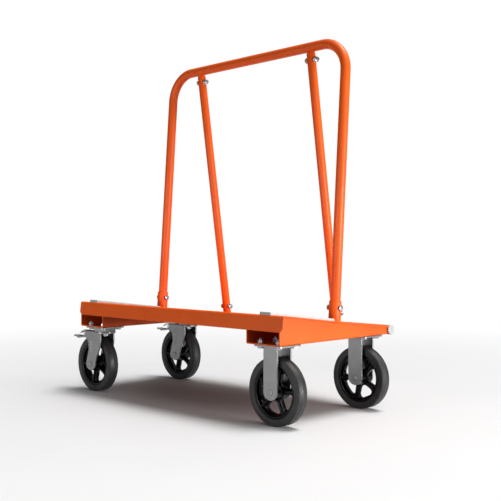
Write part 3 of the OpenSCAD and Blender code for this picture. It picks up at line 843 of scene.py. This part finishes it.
def studio_floor():
    """A pale floor with a painted shadow under the cart, and white far off. It throws little light
    back up.
    """
    dark, light, painted_shadow = (0.63, 0.63, 0.63), (0.65, 0.65, 0.65), (0.30, 0.30, 0.30)
    # The painted shadow is a darker ellipse, left of the middle by the shift times its half width
    painted_shadow_shift, painted_shadow_half_x, painted_shadow_half_y = 0.18, 0.55, 0.33
    fade_from, fade_to = 0.9, 3.0
    n = Nodes("studio_floor")
    tone = n.mix(n.noise(3, 2), dark, light)
    painted_shadow_ellipse = n.node("ShaderNodeMapping", Location=(painted_shadow_shift, 0, 0),
                   Scale=(1 / painted_shadow_half_x, 1 / painted_shadow_half_y, 0))
    n.link(n.place, painted_shadow_ellipse.inputs["Vector"])
    # Painted shadow: the floor's tone falls to dark grey inside the ellipse under the cart
    tone = n.mix(n.ramp(n.length(painted_shadow_ellipse.outputs["Vector"]), 0.35, 1.15), painted_shadow, tone)
    n.finish(tone, n.ramp(n.noise(8, 2), 0, 1, 0.55, 0.65), Specular_IOR_Level=0.2)
    white = n.node("ShaderNodeEmission", Color=(1, 1, 1, 1), Strength=1.0)
    far = n.ramp(n.length(n.place), fade_from, fade_to)
    shown = n.mix_shaders(far, n.bsdf.outputs[0], white.outputs[0])
    dim = n.node("ShaderNodeBsdfDiffuse", Color=(0.12, 0.12, 0.12, 1))
    bounced = n.node("ShaderNodeLightPath").outputs["Is Diffuse Ray"]
    surface = n.mix_shaders(bounced, shown, dim.outputs[0])
    n.link(surface, n.tree.nodes["Material Output"].inputs["Surface"])
    return n.mat


bpy.ops.mesh.primitive_plane_add(size=60, location=(0, 0, 0))
floor = bpy.context.object
floor.name = "studio_floor"
floor.data.materials.append(studio_floor())


def studio_world():
    """White behind the object for the camera. As a light it is brighter above and to the right."""
    bright_side = Vector((0.70, 0.66, 0.25)).normalized()
    world = bpy.data.worlds.new("studio")
    bpy.context.scene.world = world
    world.use_nodes = True
    tree = world.node_tree
    way = add_node(tree, "ShaderNodeTexCoord").outputs["Generated"]
    parts = add_node(tree, "ShaderNodeSeparateXYZ")
    dot = add_node(tree, "ShaderNodeVectorMath", operation="DOT_PRODUCT")
    dot.inputs[1].default_value = bright_side
    side = add_node(tree, "ShaderNodeMapRange", interpolation_type="SMOOTHSTEP")
    set_range(side, low=-0.35, high=0.85, to_low=0.16, to_high=1.0)
    height = add_node(tree, "ShaderNodeMapRange", interpolation_type="SMOOTHSTEP")
    set_range(height, low=0.25, high=0.8, to_low=0.10, to_high=1.15)
    both = add_node(tree, "ShaderNodeMath", operation="MULTIPLY")
    lit = add_node(tree, "ShaderNodeBackground", Color=(1, 1, 1, 1))
    seen = add_node(tree, "ShaderNodeBackground", Color=(1, 1, 1, 1), Strength=1.0)
    path = add_node(tree, "ShaderNodeLightPath")
    mix = add_node(tree, "ShaderNodeMixShader")
    for a, b in ((way, dot.inputs[0]), (way, parts.inputs[0]),
                 (dot.outputs["Value"], side.inputs["Value"]),
                 (parts.outputs["Z"], height.inputs["Value"]),
                 (side.outputs["Result"], both.inputs[0]),
                 (height.outputs["Result"], both.inputs[1]),
                 (both.outputs[0], lit.inputs["Strength"]),
                 (path.outputs["Is Camera Ray"], mix.inputs[0]),
                 (lit.outputs[0], mix.inputs[1]), (seen.outputs[0], mix.inputs[2]),
                 (mix.outputs[0], tree.nodes["World Output"].inputs["Surface"])):
        tree.links.new(a, b)


def lamp(name, kind, power, place, way):
    """A light at place that shines along way. Returns its data."""
    data = bpy.data.lights.new(name, kind)
    data.energy = power
    obj = add_to_scene(bpy.data.objects.new(name, data))
    obj.location = place
    obj.rotation_mode = "QUATERNION"
    obj.rotation_quaternion = Vector(way).to_track_quat("-Z", "Y")
    return data


def softbox(name, place, size, power):
    """A wide, low panel of light that faces level towards the cart's middle."""
    data = lamp(name, "AREA", power, place, (-place[0], -place[1], 0))
    data.shape = "RECTANGLE"
    data.size, data.size_y = size


studio_world()
bpy.context.scene.view_settings.view_transform = "Standard"
sun = lamp("overhead", "SUN", power=2.9, place=(0, 0, 0), way=(-0.21, -0.25, -1))
sun.angle = math.radians(24)
softbox("side", place=(3.4, 0.5, 0.34), size=(1.4, 0.4), power=115)
softbox("front", place=(-0.4, -4.2, 0.36), size=(2.4, 0.5), power=57)
